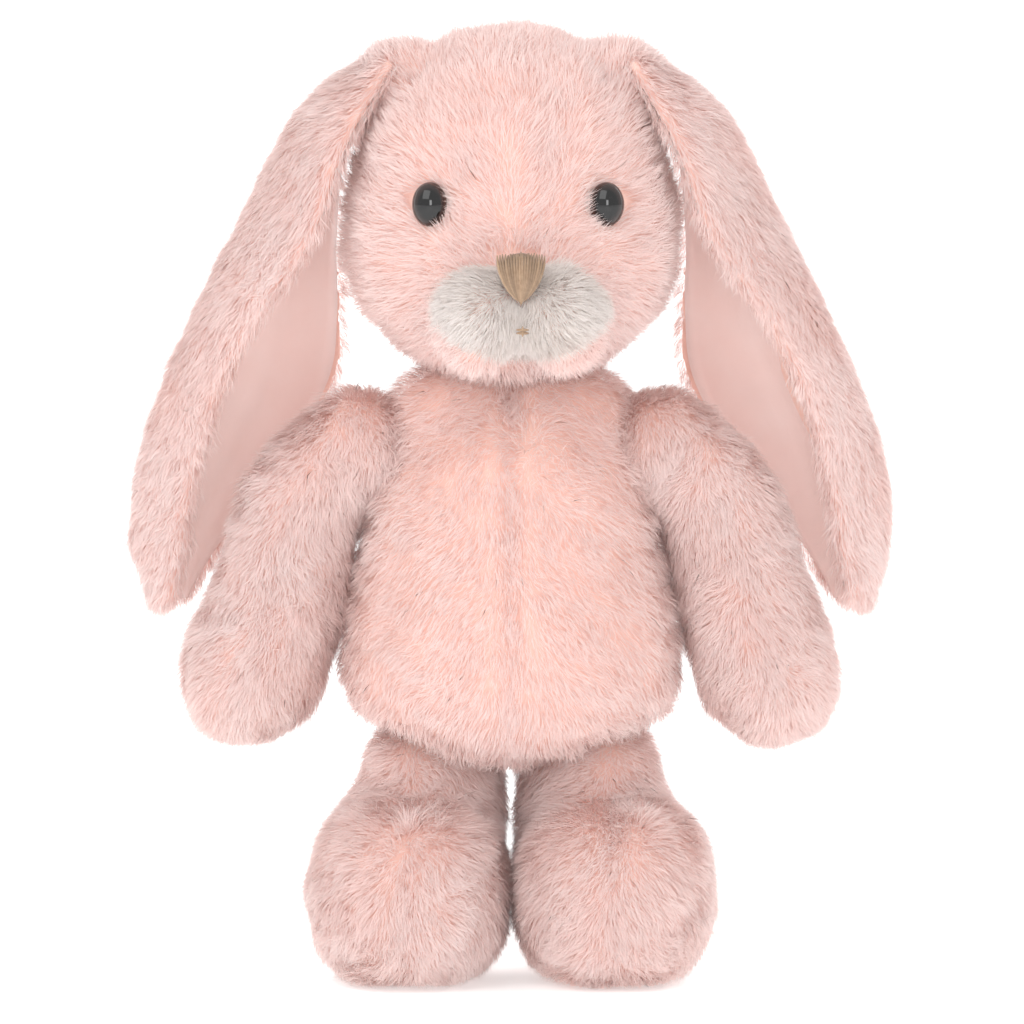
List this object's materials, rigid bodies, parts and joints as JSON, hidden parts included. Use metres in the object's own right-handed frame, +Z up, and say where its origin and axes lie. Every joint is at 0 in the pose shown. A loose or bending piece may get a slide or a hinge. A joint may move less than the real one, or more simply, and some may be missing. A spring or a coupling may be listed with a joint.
{
  "type": "stuffed bunny rabbit",
  "caption": "Soft long-pile toy rabbit that stands on round feet, with long hanging lined ears, a pale muzzle, an embroidered nose and domed eyes.",
  "frame": {"origin": "on the floor under the middle of the toy's bounding box", "axes": "+Z up, the face looks along -Y, the toy's own left is +X"},
  "size_m": [0.2328, 0.1234, 0.298],
  "materials": {
    "pink_plush": "long soft pile, matte",
    "white_plush": "long soft pile, matte",
    "ear_satin": "short smooth velour, soft sheen",
    "nose_thread": "satin stitch, soft sheen",
    "eye_plastic": "polished",
    "washer_plastic": "moulded",
    "fibre": "loose polyester fibre",
    "pellets": "woven bag of plastic pellets"
  },
  "bodies": {
    "torso": {"torso_front_left": "pink_plush", "torso_front_right": "pink_plush", "torso_back_left": "pink_plush", "torso_back_right": "pink_plush", "torso_stuffing": "fibre", "tail_shell": "pink_plush", "tail_stuffing": "fibre"},
    "neck": {"neck_stuffing": "fibre"},
    "head": {"muzzle_patch": "white_plush", "head_gusset": "pink_plush", "head_side_left": "pink_plush", "head_side_right": "pink_plush", "head_stuffing": "fibre", "eye_left": "eye_plastic", "eye_washer_left": "washer_plastic", "eye_right": "eye_plastic", "eye_washer_right": "washer_plastic", "nose_embroidery": "nose_thread", "mouth_stitch": "nose_thread"},
    "ear_left": {"ear_left_fur": "pink_plush", "ear_left_lining": "ear_satin"},
    "ear_right": {"ear_right_fur": "pink_plush", "ear_right_lining": "ear_satin"},
    "arm_left": {"arm_left_outer": "pink_plush", "arm_left_inner": "pink_plush", "arm_left_stuffing": "fibre"},
    "arm_right": {"arm_right_outer": "pink_plush", "arm_right_inner": "pink_plush", "arm_right_stuffing": "fibre"},
    "leg_left": {"leg_left_outer": "pink_plush", "leg_left_inner": "pink_plush", "foot_left_sole": "pink_plush", "leg_left_stuffing": "fibre", "foot_left_pellet_bag": "pellets"},
    "leg_right": {"leg_right_outer": "pink_plush", "leg_right_inner": "pink_plush", "foot_right_sole": "pink_plush", "leg_right_stuffing": "fibre", "foot_right_pellet_bag": "pellets"}
  },
  "joints": [
    {"name": "neck_turn", "type": "hinge", "parent": "torso", "child": "neck", "pos_m": [0, 0, 0.198], "axis": [0, 0, 1], "range_deg": [-16, 16], "stiffness_Nm_per_rad": 0.3},
    {"name": "head_nod", "type": "hinge", "parent": "neck", "child": "head", "pos_m": [0, 0, 0.198], "axis": [1, 0, 0], "range_deg": [-8, 15], "stiffness_Nm_per_rad": 0.6},
    {"name": "ear_left_lift", "type": "hinge", "parent": "head", "child": "ear_left", "pos_m": [0.036, 0, 0.282], "axis": [0, -1, 0], "range_deg": [0, 110]},
    {"name": "ear_right_lift", "type": "hinge", "parent": "head", "child": "ear_right", "pos_m": [-0.036, 0, 0.282], "axis": [0, 1, 0], "range_deg": [0, 110]},
    {"name": "arm_left_swing", "type": "hinge", "parent": "torso", "child": "arm_left", "pos_m": [0.04512, 0, 0.16133], "axis": [-0.9636, 0, -0.2672], "range_deg": [0, 100]},
    {"name": "arm_right_swing", "type": "hinge", "parent": "torso", "child": "arm_right", "pos_m": [-0.04512, 0, 0.16133], "axis": [-0.9636, 0, 0.2672], "range_deg": [0, 100]},
    {"name": "leg_left_swing", "type": "hinge", "parent": "torso", "child": "leg_left", "pos_m": [0.0255, 0, 0.062], "axis": [-1, 0, 0], "range_deg": [-15, 20], "stiffness_Nm_per_rad": 1},
    {"name": "leg_right_swing", "type": "hinge", "parent": "torso", "child": "leg_right", "pos_m": [-0.0255, 0, 0.062], "axis": [-1, 0, 0], "range_deg": [-15, 20], "stiffness_Nm_per_rad": 1}
  ]
}
